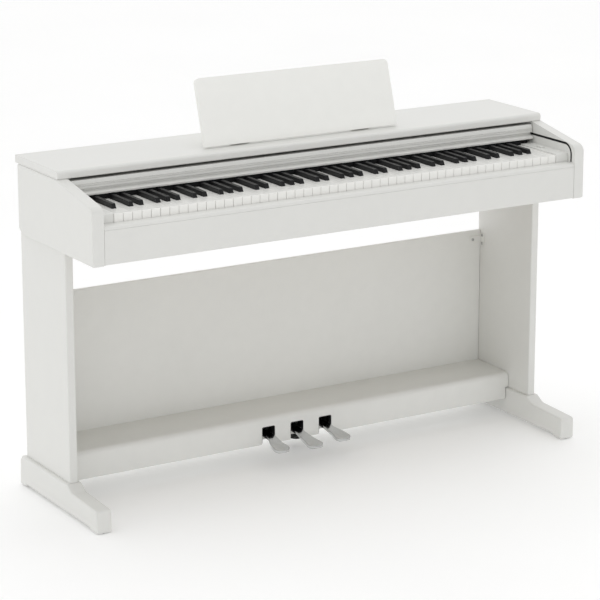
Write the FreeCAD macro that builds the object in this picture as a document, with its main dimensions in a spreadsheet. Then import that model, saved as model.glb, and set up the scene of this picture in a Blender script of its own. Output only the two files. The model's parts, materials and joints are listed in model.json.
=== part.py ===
import FreeCAD, Part
import math
import os
import Sketcher
from FreeCAD import Vector

# A slim console piano: an upper unit with 88 keys on a stand of two side panels, a rear board,
# a pedal box and two feet.
# +X is the player's right, -Y is the front, +Z is up; the origin is on the floor under the centre.

doc = FreeCAD.newDocument("console_piano")
sheet = doc.addObject("Spreadsheet::Sheet", "Dims")
NODES = []

SIZES = {
    "unit_width": 1357,
    "unit_depth": 422,
    "unit_height": 815,
    "arm_thickness": 29.6,
    "arm_bottom": 630,
    "arm_back": 176,
    "arm_slope_front": 766,
    "arm_corner_round": 20,
    "arm_edge_round": 4,
    "groove_height": 764.5,
    "groove_front": -196,
    "groove_width": 5,
    "groove_depth": 4,
    "liner_wall": 0.6,
    "guide_pin_radius": 1.6,
    "groove_bend": 26,
    "top_width": 1350,
    "top_thickness": 19.5,
    "top_front": -33,
    "top_back": 193,
    "side_gap": 0.4,
    "joint_gap": 1,
    "bottom_thickness": 12,
    "back_thickness": 8,
    "rail_thickness": 18,
    "rail_top": 711,
    "slip_top": 721,
    "slip_round": 8,
    "key_pitch": 23.5,
    "key_gap": 1,
    "key_front": -184,
    "key_top": 740,
    "key_depth": 24,
    "key_head": 47,
    "sharp_width": 10.4,
    "sharp_rise": 10.5,
    "sharp_back": -40,
    "key_pivot": 36,
    "key_tail_end": 40,
    "block_top": 742.5,
    "cover_bottom": 753,
    "cover_top": 789,
    "cover_front": -42,
    "cover_bar_depth": 20,
    "cover_panel_rear": 112,
    "cover_panel_thickness": 6,
    "cover_panel_under": 779,
    "pinion_radius": 9,
    "pinion_teeth": 12,
    "pinion_height": 766,
    "shaft_place": 104,
    "shaft_radius": 3,
    "leg_thickness": 20.8,
    "leg_outside": 667.5,
    "leg_front": -45,
    "leg_back": 188,
    "foot_outside": 677.5,
    "foot_width": 39,
    "foot_front": -200,
    "foot_back": 211,
    "foot_height": 76,
    "toe_height": 59,
    "foot_edge_round": 4.5,
    "pad_height": 2,
    "board_thickness": 9,
    "board_top": 472,
    "box_front": 41,
    "box_top": 118,
    "box_under": 46.5,
    "box_wall": 10,
    "pedal_spacing": 82,
    "pedal_slot": 37,
    "pedal_slot_top": 92,
    "pedal_pivot_place": 140,
    "pedal_pivot_height": 69,
    "pedal_thickness": 8,
    "pedal_shank": 23,
    "pedal_head": 42,
    "rest_width": 540,
    "rest_length": 155.7,
    "rest_foot": -8.3,
    "rest_ahead": 5.5,
    "rest_thickness": 9,
    "rest_lean": 17,
    "rest_axis_place": 27.9,
    "rest_axis_rise": 8,
    "support_pivot": 70,
    "support_ahead": 2,
    "support_angle": 33,
    "adjuster_x": 41,
    "adjuster_y": 115,
    "adjuster_low": 22.6,
}


class Size:
    """A length that knows its value and the sheet expression that gives it."""

    def __init__(self, value, text):
        self.value = value
        self.text = text

    def __add__(self, other):
        other = as_size(other)
        return Size(self.value + other.value, f"({self.text} + {other.text})")

    def __sub__(self, other):
        other = as_size(other)
        return Size(self.value - other.value, f"({self.text} - {other.text})")

    def __mul__(self, other):
        other = as_size(other)
        return Size(self.value * other.value, f"({self.text} * {other.text})")

    def __truediv__(self, other):
        other = as_size(other)
        return Size(self.value / other.value, f"({self.text} / {other.text})")

    def __radd__(self, other):
        return as_size(other) + self

    def __rsub__(self, other):
        return as_size(other) - self

    def __rmul__(self, other):
        return as_size(other) * self

    def __neg__(self):
        return Size(-self.value, f"(-1 * {self.text})")


def as_size(value):
    if isinstance(value, Size):
        return value
    return Size(value, f"({value!r})")


def fill_sheet():
    for row, (name, value) in enumerate(SIZES.items(), start=1):
        sheet.set(f"A{row}", str(value))
        sheet.setAlias(f"A{row}", name)
    doc.recompute()


def dim(name):
    return Size(SIZES[name], f"Dims.{name}")


# ---------------------------------------------------------------- building blocks

def bind(obj, prop, size):
    size = as_size(size)
    obj.setExpression(prop, size.text)


def place(obj, x=0, y=0, z=0):
    for axis, size in (("x", x), ("y", y), ("z", z)):
        bind(obj, f"Placement.Base.{axis}", size)


def block(name, x, y, z):
    """A box between the two ends given for each axis."""
    obj = doc.addObject("Part::Box", name)
    for prop, (low, high) in (("Length", x), ("Width", y), ("Height", z)):
        bind(obj, prop, as_size(high) - low)
    place(obj, x[0], y[0], z[0])
    return obj


TURNS = {
    "X": FreeCAD.Rotation(Vector(0, 1, 0), 90),
    "Y": FreeCAD.Rotation(Vector(1, 0, 0), -90),
    "Z": FreeCAD.Rotation(),
}


def rod(name, axis, radius, length, x, y, z):
    """A cylinder that starts at x, y, z and runs along +axis."""
    obj = doc.addObject("Part::Cylinder", name)
    obj.Placement = FreeCAD.Placement(Vector(), TURNS[axis])
    bind(obj, "Radius", radius)
    bind(obj, "Height", length)
    place(obj, x, y, z)
    return obj


def fuse(name, shapes):
    obj = doc.addObject("Part::MultiFuse", name)
    obj.Shapes = shapes
    obj.Refine = True
    return obj


def group(name, shapes):
    """Separate solids that share one node."""
    obj = doc.addObject("Part::Compound", name)
    obj.Links = shapes
    return obj


def cut(name, base, tools):
    obj = doc.addObject("Part::Cut", name)
    obj.Base = base
    obj.Tool = tools[0] if len(tools) == 1 else fuse(f"{name}_tools", tools)
    return obj


def node(label, obj):
    obj.Label = label
    NODES.append(obj)
    return obj


PLANES = {"X": "YZ_Plane", "Y": "XZ_Plane", "Z": "XY_Plane"}


def prism(name, axis, points, start, end, rounds=()):
    """A polygon swept along an axis from start to end.

    Points are (Y, Z) pairs for a sweep along X, (X, Z) along Y and (X, Y) along Z.
    rounds holds (point number, radius) pairs for the corners that are rounded.
    """
    body = doc.addObject("PartDesign::Body", name)
    plane = [p for p in body.Origin.OriginFeatures if p.Role == PLANES[axis]][0]
    sketch = body.newObject("Sketcher::SketchObject", f"{name}_outline")
    sketch.AttachmentSupport = (plane, "")
    sketch.MapMode = "FlatFace"
    # The front plane's normal is -Y, so there the sweep starts at the far end.
    start = as_size(start)
    end = as_size(end)
    offset = -end if axis == "Y" else start
    bind(sketch, "AttachmentOffset.Base.z", offset)
    corners = [(as_size(a), as_size(b)) for a, b in points]
    count = len(corners)
    for number, (a, b) in enumerate(corners):
        c, d = corners[(number + 1) % count]
        line = Part.LineSegment(Vector(a.value, b.value, 0), Vector(c.value, d.value, 0))
        sketch.addGeometry(line, False)
    for number, (a, b) in enumerate(corners):
        sketch.addConstraint(Sketcher.Constraint("Coincident", number, 2, (number + 1) % count, 1))
        for kind, size in (("DistanceX", a), ("DistanceY", b)):
            index = sketch.addConstraint(Sketcher.Constraint(kind, number, 1, size.value))
            sketch.setExpression(f"Constraints[{index}]", size.text)
    pad = body.newObject("PartDesign::Pad", f"{name}_pad")
    pad.Profile = sketch
    bind(pad, "Length", end - start)
    body.Tip = pad
    if rounds:
        doc.recompute()
    for number, radius in rounds:
        round_corner(body, axis, corners[number], radius)
    return body


def round_corner(body, axis, corner, radius):
    """Round the swept edge that runs through one corner of the outline."""
    base = body.Tip
    a, b = corner[0].value, corner[1].value
    found = None
    for number, edge in enumerate(base.Shape.Edges, start=1):
        ends = [v.Point for v in edge.Vertexes]
        flat = [{"X": (p.y, p.z), "Y": (p.x, p.z), "Z": (p.x, p.y)}[axis] for p in ends]
        if len(flat) == 2 and all(math.hypot(u - a, v - b) < 0.01 for u, v in flat):
            found = f"Edge{number}"
    if found is None:
        raise RuntimeError(f"{body.Name} has no edge at {a}, {b}")
    fillet = body.newObject("PartDesign::Fillet", f"{body.Name}_round")
    fillet.Base = (base, [found])
    bind(fillet, "Radius", radius)
    body.Tip = fillet
    doc.recompute()


def mirrored(name, source):
    """The same piece on the other side of the centre plane."""
    obj = doc.addObject("Part::Mirroring", name)
    obj.Source = source
    obj.Normal = Vector(1, 0, 0)
    return obj


# ---------------------------------------------------------------- places used by many pieces

fill_sheet()
HALF = dim("unit_width") / 2
FRONT = -(dim("unit_depth") / 2)
ARM_IN = HALF - dim("arm_thickness")
INSIDE = ARM_IN - dim("side_gap")
TOP_UNDER = dim("unit_height") - dim("top_thickness")
FLOOR_OF_UNIT = dim("arm_bottom") + 2
BED = FLOOR_OF_UNIT + dim("bottom_thickness")
LEG_IN = dim("leg_outside") - dim("leg_thickness")
BOARD_FRONT = dim("leg_back") - dim("board_thickness")


# ---------------------------------------------------------------- upper unit

def top_board():
    points = [
        (dim("top_front"), TOP_UNDER),
        (dim("top_back"), TOP_UNDER),
        (dim("top_back"), dim("unit_height")),
        (dim("top_front"), dim("unit_height")),
    ]
    half = dim("top_width") / 2
    rounds = [(3, 8), (0, 3), (2, 3)]
    return node("top_board", prism("top_board", "X", points, -half, half, rounds))


def arm_profile():
    slope_end = dim("top_front") - 2
    return [
        (FRONT, dim("arm_bottom")),
        (FRONT, dim("arm_slope_front") - 3.5),
        (slope_end, TOP_UNDER),
        (dim("arm_back"), TOP_UNDER),
        (dim("arm_back"), dim("arm_bottom") + 13),
        (dim("arm_back") - 15, dim("arm_bottom")),
    ]


def guide_groove(name, inner, outer, wall=0):
    """A level slot in the arm's inner wall that bends down behind the front corner."""
    half = dim("groove_width") / 2 - wall
    front = dim("groove_front")
    height = dim("groove_height")
    points = [
        (-20 - as_size(wall), height + half),
        (front - half, height + half),
        (front - half, dim("slip_top")),
        (front + half, dim("slip_top")),
        (front + half, height - half),
        (-20 - as_size(wall), height - half),
    ]
    bend = dim("groove_bend")
    rounds = [(1, bend + half), (4, bend - half)]
    return prism(name, "X", points, inner, outer, rounds)


def arms():
    rounds = [(1, dim("arm_corner_round")), (0, dim("arm_edge_round")), (5, 4)]
    right = prism("right_arm_board", "X", arm_profile(), ARM_IN, HALF, rounds)
    soften(right, HALF, dim("arm_edge_round"))
    groove = guide_groove("right_groove", ARM_IN - 1, ARM_IN + dim("groove_depth"))
    right_arm = node("right_arm", cut("right_arm", right, [groove]))
    node("left_arm", mirrored("left_arm", right_arm))


def soften(body, level, radius):
    """Round the outline's edges on the end face at one X."""
    doc.recompute()
    base = body.Tip
    names = []
    for number, edge in enumerate(base.Shape.Edges, start=1):
        box = edge.BoundBox
        if abs(box.XMin - level.value) < 0.01 and abs(box.XMax - level.value) < 0.01:
            names.append(f"Edge{number}")
    fillet = body.newObject("PartDesign::Fillet", f"{body.Name}_soft")
    fillet.Base = (base, names)
    bind(fillet, "Radius", radius)
    body.Tip = fillet
    doc.recompute()


def back_panel():
    front = dim("arm_back") - dim("back_thickness")
    panel = block("back_panel_board", (-INSIDE, INSIDE), (front, dim("arm_back")),
                  (FLOOR_OF_UNIT, TOP_UNDER))
    inlet = rod("inlet_hole", "Y", 6.2, 20, 420, front - 5, 665)
    node("back_panel", cut("back_panel", panel, [inlet]))


SPEAKER_PLACE = 470
SPEAKER_MIDDLE = 20
PHONES_MIDDLE = -560
PHONES_FRONT = -135
PHONES_STEP = 34


def bottom_board():
    front = FRONT + dim("rail_thickness")
    back = dim("arm_back") - dim("back_thickness")
    board = block("bottom_board_blank", (-INSIDE, INSIDE), (front, back), (FLOOR_OF_UNIT, BED))
    holes = []
    for side in (-1, 1):
        holes.append(rod(f"speaker_hole_{side + 2}", "Z", 52, 40, side * SPEAKER_PLACE,
                         SPEAKER_MIDDLE, FLOOR_OF_UNIT - 5))
    holes.append(block("jack_hole", (PHONES_MIDDLE - 40, PHONES_MIDDLE + 40),
                       (PHONES_FRONT - 16, PHONES_FRONT + 16), (FLOOR_OF_UNIT - 5, BED + 5)))
    node("bottom_board", cut("bottom_board", board, holes))


def front_rail():
    back = FRONT + dim("rail_thickness")
    points = [
        (FRONT + 0.5, FLOOR_OF_UNIT),
        (back, FLOOR_OF_UNIT),
        (back, dim("rail_top")),
        (FRONT + 0.5, dim("rail_top")),
    ]
    node("front_rail", prism("front_rail", "X", points, -INSIDE, INSIDE, [(0, 2)]))


def key_slip():
    """The rounded ledge in front of the keys."""
    back = dim("key_front") - 0.7
    points = [
        (FRONT + 0.3, dim("rail_top")),
        (back, dim("rail_top")),
        (back, dim("slip_top")),
        (FRONT + 0.3, dim("slip_top") - 1.5),
    ]
    rounds = [(3, dim("slip_round")), (2, 1)]
    node("key_slip", prism("key_slip", "X", points, -INSIDE, INSIDE, rounds))


KEYS_HALF = dim("key_pitch") * 26
POWER_PLACE = (630, -95)
FUNCTION_X = -630
FUNCTION_PLACES = {"front": -130, "rear": -105}
SLIDER_TRACK = (-85, -45)


def end_blocks():
    """The cheeks that close the keyboard at both ends and carry the controls."""
    back = -14
    points = [
        (dim("key_front"), BED),
        (back, BED),
        (back, dim("block_top")),
        (dim("key_front"), dim("block_top")),
    ]
    rounds = [(3, 3)]
    inner = KEYS_HALF + 0.8
    right = prism("right_block_blank", "X", points, inner, INSIDE, rounds)
    hollow = block("right_block_hollow", (inner + 3, INSIDE - 3), (dim("key_front") + 3, back - 3),
                   (BED - 1, dim("block_top") - 3))
    hole = block("power_hole", (POWER_PLACE[0] - 6.3, POWER_PLACE[0] + 6.3),
                 (POWER_PLACE[1] - 10.3, POWER_PLACE[1] + 10.3),
                 (dim("block_top") - 10, dim("block_top") + 5))
    node("right_end_block", cut("right_end_block", right, [hollow, hole]))
    left = prism("left_block_blank", "X", points, -INSIDE, -inner, rounds)
    tools = [block("left_block_hollow", (-INSIDE + 3, -inner - 3),
                   (dim("key_front") + 3, back - 3), (BED - 1, dim("block_top") - 3))]
    for name, middle in FUNCTION_PLACES.items():
        tools.append(block(f"function_hole_{name}", (FUNCTION_X - 7.3, FUNCTION_X + 7.3),
                           (middle - 5.3, middle + 5.3),
                           (dim("block_top") - 10, dim("block_top") + 5)))
    tools.append(block("slider_slot", (FUNCTION_X - 2, FUNCTION_X + 2), SLIDER_TRACK,
                       (dim("block_top") - 10, dim("block_top") + 5)))
    node("left_end_block", cut("left_end_block", left, tools))


def controls():
    top = dim("block_top")
    low = top - 9
    points = [(POWER_PLACE[1] - 9.9, low), (POWER_PLACE[1] + 9.9, low),
              (POWER_PLACE[1] + 9.9, top + 3.2), (POWER_PLACE[1] - 9.9, top + 3.2)]
    node("power_button", prism("power_button", "X", points, POWER_PLACE[0] - 5.9,
                               POWER_PLACE[0] + 5.9, [(2, 1.5), (3, 1.5)]))
    for name, middle in FUNCTION_PLACES.items():
        points = [(middle - 4.9, low), (middle + 4.9, low),
                  (middle + 4.9, top + 2), (middle - 4.9, top + 2)]
        label = f"function_button_{name}"
        node(label, prism(label, "X", points, FUNCTION_X - 6.9, FUNCTION_X + 6.9,
                          [(2, 0.8), (3, 0.8)]))
    start = SLIDER_TRACK[1] - 6
    stem = block("slider_stem", (FUNCTION_X - 1.5, FUNCTION_X + 1.5), (start, start + 4),
                 (top - 8, top + 1.5))
    cap = block("slider_cap", (FUNCTION_X - 6, FUNCTION_X + 6), (start - 3, start + 7),
                (top + 0.5, top + 5))
    node("volume_slider", fuse("volume_slider", [stem, cap]))


# ---------------------------------------------------------------- sliding key cover

def cover():
    front = dim("cover_front")
    low = dim("cover_bottom")
    high = dim("cover_top")
    inner = INSIDE - 2.5
    rear = front + dim("cover_bar_depth")
    # The front bar: a bevelled cap, two fine steps, a hollow for the fingers and a lip.
    points = [
        (front, low),
        (rear, low),
        (rear, high),
        (front + 8, high),
        (front + 5, high - 9),
        (front + 6.4, high - 9.6),
        (front + 6.4, high - 11.4),
        (front + 5, high - 12),
        (front + 5, high - 13.4),
        (front + 6.4, high - 14),
        (front + 5.4, high - 19.5),
        (front + 12, high - 20.5),
        (front + 12, high - 26),
        (front + 3, low + 7),
        (front, low + 5),
    ]
    rounds = [(0, 1.5), (3, 2), (14, 2), (11, 2)]
    bar = prism("cover_bar", "X", points, -inner, inner, rounds)
    under = dim("cover_panel_under")
    thick = dim("cover_panel_thickness")
    panel = block("cover_board", (-inner, inner), (rear, dim("cover_panel_rear")),
                  (under, under + thick))
    pieces = [panel]
    middle = dim("shaft_place")
    for side in (-1, 1):
        lug = block(f"shaft_lug_{side + 2}", (side * 612 - 5, side * 612 + 5),
                    (middle - 7, middle + 7), (dim("pinion_height") - 6, under + 1))
        pieces.append(lug)
    bores = rod("shaft_bores", "X", dim("shaft_radius") + 0.1, 1300, -650, middle,
                dim("pinion_height"))
    node("cover_panel", cut("cover_panel", fuse("cover_board_lugs", pieces), [bores]))
    pins = []
    for side in (-1, 1):
        start = ARM_IN - 8 if side > 0 else -ARM_IN - 3
        pins.append(rod(f"guide_pin_{side + 2}", "X", dim("guide_pin_radius"), 11, start,
                        rear - 5, dim("groove_height")))
    node("cover_guide_pins", group("cover_guide_pins", pins))
    node("cover_handle", cut("cover_handle", bar, pin_bores(pins)))


def pin_bores(pins):
    """Holes in the bar where its guide pins are pressed in."""
    bores = []
    for number, pin in enumerate(pins):
        bore = rod(f"pin_bore_{number}", "X", dim("guide_pin_radius"), 11, 0, 0, 0)
        for axis in ("x", "y", "z"):
            bore.setExpression(f"Placement.Base.{axis}", f"{pin.Name}.Placement.Base.{axis}")
        bores.append(bore)
    return bores


def toothed_wheel(name, start, end, middle, height):
    """A pinion with straight-flanked teeth and generous backlash."""
    module = SIZES["pinion_radius"] * 2 / SIZES["pinion_teeth"]
    pitch = math.pi * module
    radius = SIZES["pinion_radius"]
    half = pitch * 0.20
    slope = math.tan(math.radians(20))
    outer = 0.8 * module
    inner = 1.25 * module
    points = []
    for tooth in range(SIZES["pinion_teeth"]):
        turn = 2 * math.pi * (tooth + 0.5) / SIZES["pinion_teeth"] - math.pi / 2
        for side, reach in ((-1, -inner), (-1, outer), (1, outer), (1, -inner)):
            across = side * (half - reach * slope)
            along = radius + reach
            points.append(Vector(0, along * math.cos(turn) - across * math.sin(turn),
                                 along * math.sin(turn) + across * math.cos(turn)))
    wire = Part.makePolygon(points + [points[0]])
    wheel = Part.Face(wire).extrude(Vector(end - start, 0, 0))
    obj = doc.addObject("Part::Feature", name)
    obj.Shape = wheel
    obj.Placement = FreeCAD.Placement(Vector(start, middle, height), FreeCAD.Rotation())
    return obj


RACK_TEETH_AHEAD = 26


def cover_drive():
    """A shaft with a pinion at each end, rolling on two racks so the cover runs square."""
    middle = dim("shaft_place")
    height = dim("pinion_height")
    reach = 645
    shaft = rod("shaft_bar", "X", dim("shaft_radius"), 2 * reach, -reach, middle, height)
    wheels = [toothed_wheel("pinion_left", -reach, -reach + 6, middle.value, height.value),
              toothed_wheel("pinion_right", reach - 6, reach, middle.value, height.value)]
    node("cover_shaft", fuse("cover_shaft", [shaft] + wheels))
    module = SIZES["pinion_radius"] * 2 / SIZES["pinion_teeth"]
    pitch = math.pi * module
    slope = math.tan(math.radians(20))
    line = height.value - SIZES["pinion_radius"]
    low = line - 1.25 * module
    high = line + 0.8 * module
    guides = []
    first = middle.value - pitch * RACK_TEETH_AHEAD
    for side in (-1, 1):
        points = [Vector(0, first - pitch / 2, low - 6)]
        for tooth in range(RACK_TEETH_AHEAD + 3):
            at = first + pitch * tooth
            for hand, level in ((-1, low), (-1, high), (1, high), (1, low)):
                across = hand * (pitch * 0.20 - (level - line) * slope)
                points.append(Vector(0, at + across, level))
        points.append(Vector(0, middle.value + pitch * 2.5, low - 6))
        bar = Part.Face(Part.makePolygon(points + [points[0]])).extrude(Vector(9, 0, 0))
        rack = doc.addObject("Part::Feature", f"rack_{side + 2}")
        rack.Shape = bar
        at_x = ARM_IN.value - 9 if side > 0 else -ARM_IN.value
        rack.Placement = FreeCAD.Placement(Vector(at_x, 0, 0), FreeCAD.Rotation())
        guides.append(rack)
    guides += groove_liners()
    node("cover_guides", group("cover_guides", guides))


def groove_liners():
    """Dark channels that line the arms' grooves, where the cover's guide pins run."""
    wall = dim("liner_wall")
    channel = guide_groove("liner_blank", ARM_IN, ARM_IN + dim("groove_depth"))
    room = guide_groove("liner_room", ARM_IN - 1, ARM_IN + dim("groove_depth") - wall, wall)
    right = cut("right_liner", channel, [room])
    return [right, mirrored("left_liner", right)]


def key_felt():
    back = dim("sharp_back") + 6
    strip = block("felt_strip", (-KEYS_HALF, KEYS_HALF), (dim("sharp_back") + 1.5, back),
                  (dim("key_top") + 1, dim("cover_bottom") - 1))
    carrier = block("felt_carrier", (-ARM_IN + 14, ARM_IN - 14), (back, back + 2),
                    (dim("block_top"), dim("cover_bottom") - 1))
    node("key_felt", fuse("key_felt", [strip, carrier]))


# ---------------------------------------------------------------- keys

# Each natural of an octave by name, with how far a sharp's slot bites into its left and right
# side behind the head, in fractions of the sharp's width.
NATURALS = {
    "c": (0.0, 0.62),
    "d": (0.38, 0.38),
    "e": (0.62, 0.0),
    "f": (0.0, 0.70),
    "g": (0.30, 0.50),
    "a": (0.50, 0.30),
    "b": (0.70, 0.0),
}
SHARP_AFTER = ("c", "d", "f", "g", "a")
ORDER = "abcdefg"


def natural(name, number, letter, left_end=False, right_end=False):
    """A natural key: a full-width head and a tail between the sharps."""
    left = KEYS_HALF * -1 + dim("key_pitch") * number + dim("key_gap") / 2
    right = left + dim("key_pitch") - dim("key_gap")
    front = dim("key_front")
    head = front + dim("key_head")
    end = dim("key_tail_end")
    bite_left, bite_right = NATURALS[letter]
    if left_end:
        bite_left = 0.0
    if right_end:
        bite_right = 0.0
    width = dim("sharp_width") + 1.4
    points = [(left, front), (right, front)]
    if bite_right:
        points += [(right, head), (right - width * bite_right, head),
                   (right - width * bite_right, end)]
    else:
        points += [(right, end)]
    if bite_left:
        points += [(left + width * bite_left, end), (left + width * bite_left, head),
                   (left, head)]
    else:
        points += [(left, end)]
    low = dim("key_top") - dim("key_depth")
    body = prism(name, "Z", points, low, dim("key_top"))
    return soften_front(body, front, dim("key_top"))


def soften_front(body, front, top):
    """Round the key's top front edge."""
    doc.recompute()
    base = body.Tip
    for number, edge in enumerate(base.Shape.Edges, start=1):
        box = edge.BoundBox
        flat = box.YMax - front.value < 0.01 and box.ZMin > top.value - 0.01
        if flat:
            fillet = body.newObject("PartDesign::Fillet", f"{body.Name}_round")
            fillet.Base = (base, [f"Edge{number}"])
            bind(fillet, "Radius", 1.2)
            body.Tip = fillet
    doc.recompute()
    return body


def sharp_middle(number, letter):
    """The X of the sharp between natural `number` and the next one."""
    edge = KEYS_HALF * -1 + dim("key_pitch") * (number + 1)
    width = dim("sharp_width") + 1.4
    following = ORDER[(ORDER.index(letter) + 1) % 7]
    bite_right = NATURALS[letter][1]
    bite_left = NATURALS[following][0]
    return edge + width * (bite_left - bite_right) / 2


def sharp(name, number, letter):
    """A sharp key: a raised bar with a sloping front."""
    middle = sharp_middle(number, letter)
    half = dim("sharp_width") / 2
    front = dim("key_front") + dim("key_head") + 0.8
    top = dim("key_top")
    rise = top + dim("sharp_rise")
    low = top - dim("key_depth")
    points = [
        (front, low),
        (dim("key_tail_end"), low),
        (dim("key_tail_end"), top),
        (dim("sharp_back"), top),
        (dim("sharp_back"), rise),
        (front + 6, rise),
        (front, top),
    ]
    body = prism(name, "X", points, middle - half, middle + half, [(5, 3)])
    return body


def keyboard():
    """52 naturals and 36 sharps, from the lowest A to the highest C."""
    low_naturals = []
    low_sharps = []
    high_naturals = []
    high_sharps = []
    for number in range(52):
        letter = ORDER[number % 7]
        octave_from_c = (number - 2) // 7 + 1
        middle_octave = octave_from_c == 4
        name = f"natural_{number}"
        body = natural(name, number, letter, number == 0, number == 51)
        if middle_octave:
            node(f"key_{letter}", body)
        elif number < 23:
            low_naturals.append(body)
        else:
            high_naturals.append(body)
        if letter not in SHARP_AFTER or number == 51:
            continue
        black = sharp(f"sharp_{number}", number, letter)
        if middle_octave:
            node(f"key_{letter}_sharp", black)
        elif number < 23:
            low_sharps.append(black)
        else:
            high_sharps.append(black)
    node("naturals_bass", group("naturals_bass", low_naturals))
    node("sharps_bass", group("sharps_bass", low_sharps))
    node("naturals_treble", group("naturals_treble", high_naturals))
    node("sharps_treble", group("sharps_treble", high_sharps))


def key_chassis():
    """A tray that carries the keys, with a rear rail for their pivots and a front stop rail."""
    low = dim("key_top") - dim("key_depth")
    base_top = low - 17
    half = KEYS_HALF
    points = [
        (-176, base_top - 2), (60, base_top - 2), (60, low + 18), (44, low + 18),
        (44, base_top), (-164, base_top), (-164, base_top + 5), (-176, base_top + 5),
    ]
    tray = prism("chassis_tray", "X", points, -half, half)
    legs = []
    for row, middle in enumerate((-170, 48)):
        for number, at in enumerate((-590, -395, -60, 300, 555)):
            legs.append(block(f"chassis_leg_{row}_{number}", (at, at + 40), (middle, middle + 8),
                              (BED, base_top - 2)))
    node("key_chassis", fuse("key_chassis", [tray] + legs))
    board_low = base_top + 2
    board = block("contact_board", (-half + 5, half - 5), (-30, 25), (board_low, board_low + 1.6))
    node("contact_board", board)
    strips = []
    for number in range(8):
        start = -half + 10 + number * 150.5
        strips.append(block(f"contact_strip_{number}", (start, start + 146), (-12, 8),
                            (board_low + 1.6, low - 3)))
    node("contact_rubbers", group("contact_rubbers", strips))


# ---------------------------------------------------------------- stand

def legs():
    points = [
        (dim("leg_front"), dim("foot_height")),
        (dim("leg_back"), dim("foot_height")),
        (dim("leg_back"), dim("arm_bottom")),
        (dim("leg_front"), dim("arm_bottom")),
    ]
    right = prism("right_leg", "X", points, LEG_IN, dim("leg_outside"))
    round_uprights(right)
    node("right_leg", right)
    node("left_leg", mirrored("left_leg", right))


def round_uprights(body):
    """Round the two front upright edges of a side panel."""
    doc.recompute()
    base = body.Tip
    names = []
    for number, edge in enumerate(base.Shape.Edges, start=1):
        box = edge.BoundBox
        upright = box.ZLength > 100
        if upright and abs(box.YMax - SIZES["leg_front"]) < 0.01:
            names.append(f"Edge{number}")
    fillet = body.newObject("PartDesign::Fillet", f"{body.Name}_round")
    fillet.Base = (base, names)
    bind(fillet, "Radius", 3)
    body.Tip = fillet
    doc.recompute()


def feet():
    front = dim("foot_front")
    back = dim("foot_back")
    pad = dim("pad_height")
    points = [
        (front, pad),
        (front + 30, pad),
        (front + 38, pad + 6),
        (back - 36, pad + 6),
        (back - 28, pad),
        (back, pad),
        (back - 4, 66),
        (back - 14, dim("foot_height")),
        (dim("leg_front") - 2, dim("foot_height")),
        (dim("leg_front") - 24, dim("toe_height") + 2.5),
        (front, dim("toe_height") - 3),
    ]
    rounds = [(10, 8), (9, 34), (8, 3), (7, 5), (6, 6)]
    outside = dim("foot_outside")
    right = prism("right_foot", "X", points, outside - dim("foot_width"), outside, rounds)
    soften(right, outside, dim("foot_edge_round"))
    soften(right, outside - dim("foot_width"), dim("foot_edge_round"))
    node("right_foot", right)
    node("left_foot", mirrored("left_foot", right))
    pads = []
    middle = outside - dim("foot_width") / 2
    for side in (-1, 1):
        for name, at in (("toe", front + 14), ("heel", back - 14)):
            pads.append(rod(f"pad_{name}_{side + 2}", "Z", 10, pad, middle * side, at, 0))
    node("foot_pads", group("foot_pads", pads))


def rear_board():
    inner = LEG_IN - dim("joint_gap")
    points = [
        (BOARD_FRONT, dim("box_under")),
        (dim("leg_back"), dim("box_under")),
        (dim("leg_back"), dim("board_top")),
        (BOARD_FRONT, dim("board_top")),
    ]
    board = prism("rear_board_blank", "X", points, -inner, inner, [(3, 1)])
    notches = [foot_notch(f"rear_notch_{side + 2}", side) for side in (-1, 1)]
    node("rear_board", cut("rear_board", board, notches))


def foot_notch(name, side):
    """Room for the foot where it stands proud of the side panel's inner face."""
    inner = dim("foot_outside") - dim("foot_width") - 1.5
    low = dim("box_under") - 5
    high = dim("foot_height") + 1.5
    ends = (inner, LEG_IN + 5) if side > 0 else (-LEG_IN - 5, -inner)
    return block(name, ends, (dim("box_front") - 5, dim("leg_back") + 5), (low, high))


def pedal_box():
    front = dim("box_front")
    back = BOARD_FRONT - 0.2
    low = dim("box_under")
    top = dim("box_top")
    wall = dim("box_wall")
    inner = LEG_IN - dim("joint_gap")
    outside = [(front, low), (back, low), (back, top), (front, top - 2)]
    shell = prism("pedal_box_shell", "X", outside, -inner, inner, [(3, 13), (0, 1.5)])
    hollow = block("pedal_box_room", (-inner - 5, inner + 5), (front + wall, back + 5),
                   (low + wall, top - wall))
    tools = [hollow]
    tools += [foot_notch(f"box_notch_{side + 2}", side) for side in (-1, 1)]
    half = dim("pedal_slot") / 2
    for number in (-1, 0, 1):
        middle = dim("pedal_spacing") * number
        tools.append(slot_opening(f"pedal_slot_{number + 2}", middle, half, low - 5,
                                  dim("pedal_slot_top"), front - 5, front + wall + 27, 4))
    tools.append(rod("adjuster_bore", "Z", 5.1, 30, dim("adjuster_x"), dim("adjuster_y"),
                     low - 10))
    node("pedal_box", cut("pedal_box", shell, tools))


def slot_opening(name, middle, half, low, high, start, end, corner):
    """A pedal's opening: an upright slot with rounded top corners, swept from start to end."""
    points = [(middle - half, low), (middle + half, low), (middle + half, high),
              (middle - half, high)]
    return prism(name, "Y", points, start, end, [(2, corner), (3, corner)])


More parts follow.
